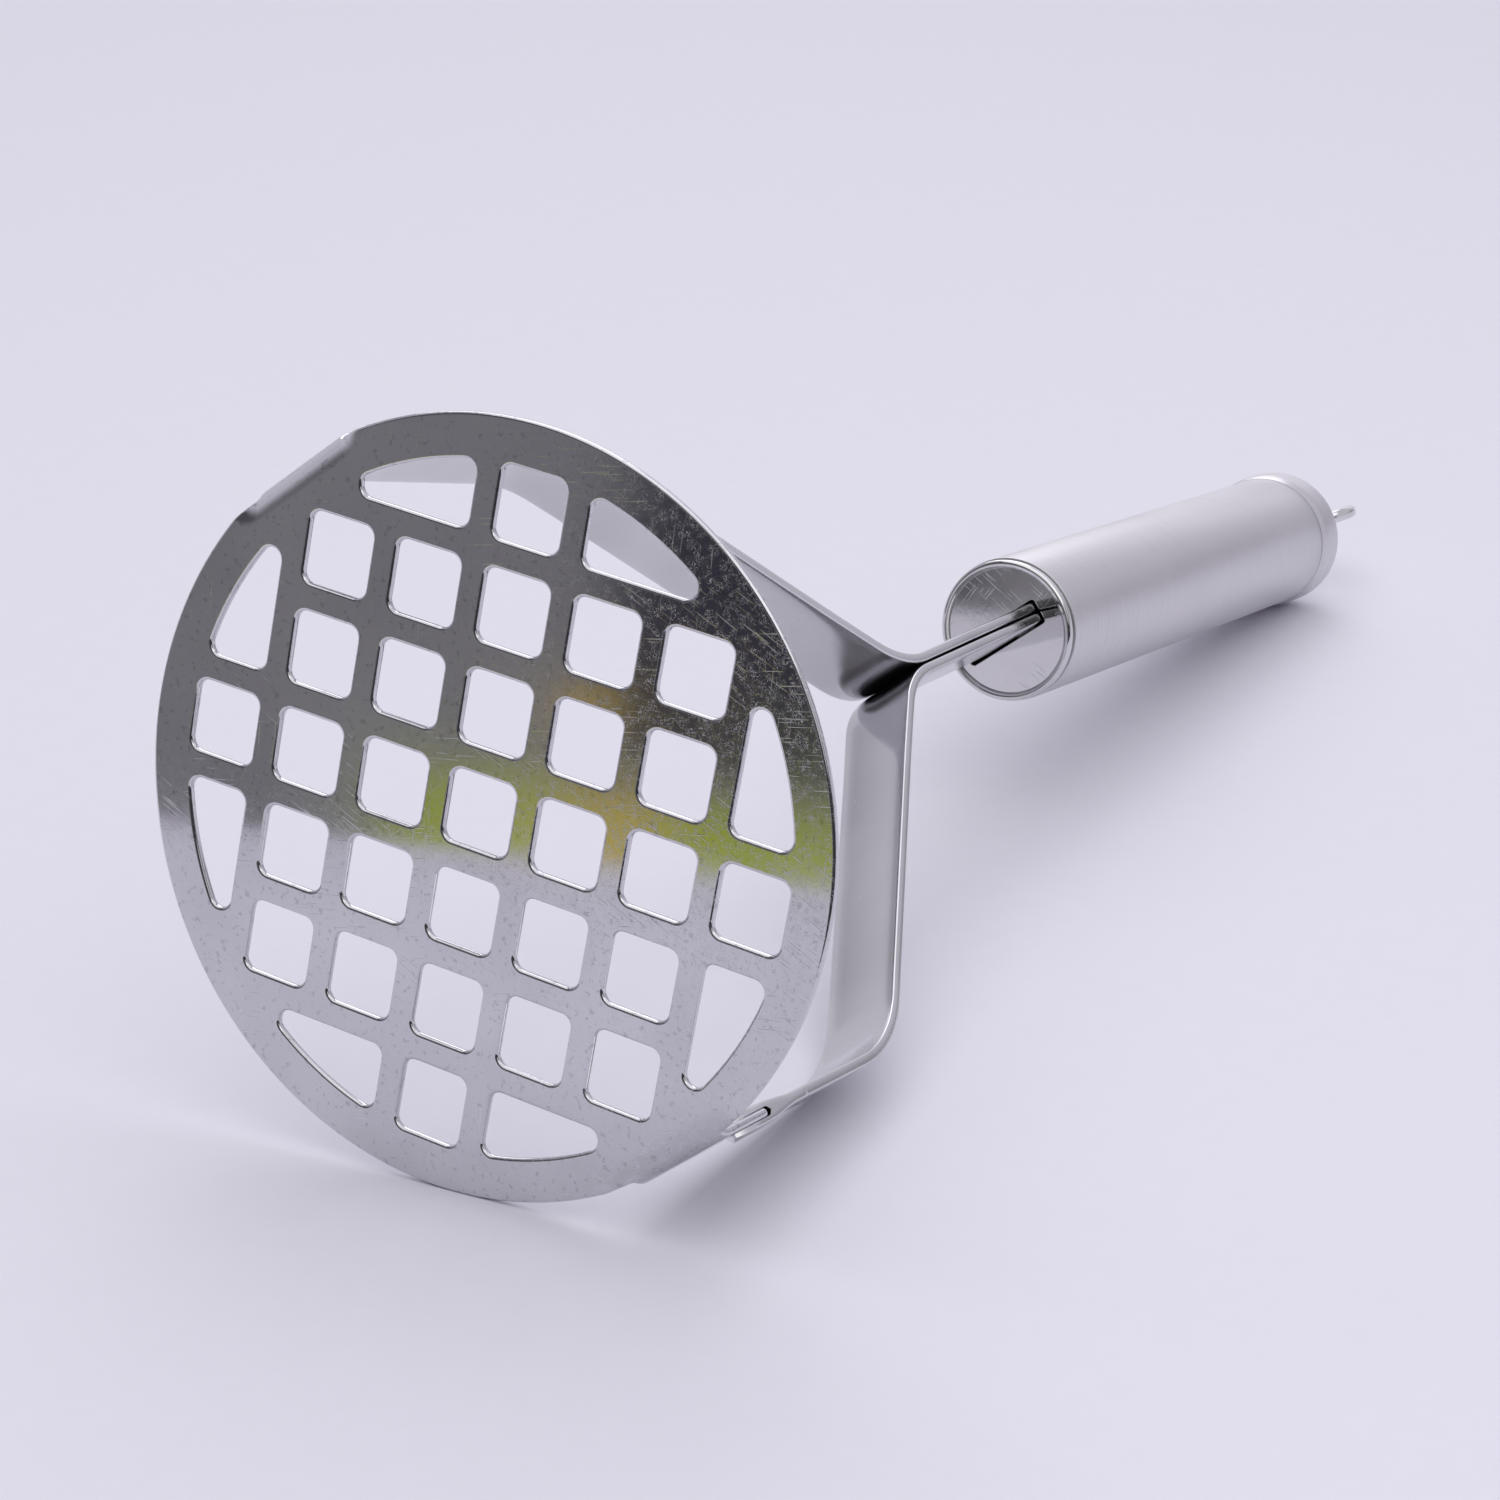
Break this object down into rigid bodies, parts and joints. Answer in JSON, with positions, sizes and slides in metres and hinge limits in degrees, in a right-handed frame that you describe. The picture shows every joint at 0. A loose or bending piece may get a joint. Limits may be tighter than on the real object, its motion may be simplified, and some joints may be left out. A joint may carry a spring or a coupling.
{
  "type": "potato masher",
  "caption": "Round punched mashing plate on two bent strip arms, with a tubular steel handle and a swivelling hanging eye.",
  "frame": {"origin": "centre of the mashing face, on the surface that the plate stands on", "axes": "+Z along the handle, away from the plate; +X towards the straight arm; the arms lie in the XZ plane"},
  "size_m": [0.0864, 0.0848, 0.2503],
  "materials": {
    "plate_steel": "worn, finely scratched",
    "arm_steel": "bright rolled",
    "cap_steel": "polished",
    "tube_steel": "satin",
    "eye_steel": "polished wire",
    "inner_steel": "plain"
  },
  "bodies": {
    "masher": {"masher_plate": "plate_steel", "arm_right": "arm_steel", "arm_left": "arm_steel", "front_cap": "cap_steel", "tail_rivet": "inner_steel", "handle_tube": "tube_steel", "rear_cap": "cap_steel"},
    "eye": {"hanging_eye": "eye_steel", "eye_washer": "inner_steel"}
  },
  "joints": [
    {"name": "eye_swivel", "type": "hinge", "parent": "masher", "child": "eye", "pos_m": [0, 0, 0.2307], "axis": [0, 0, 1], "continuous": true}
  ]
}
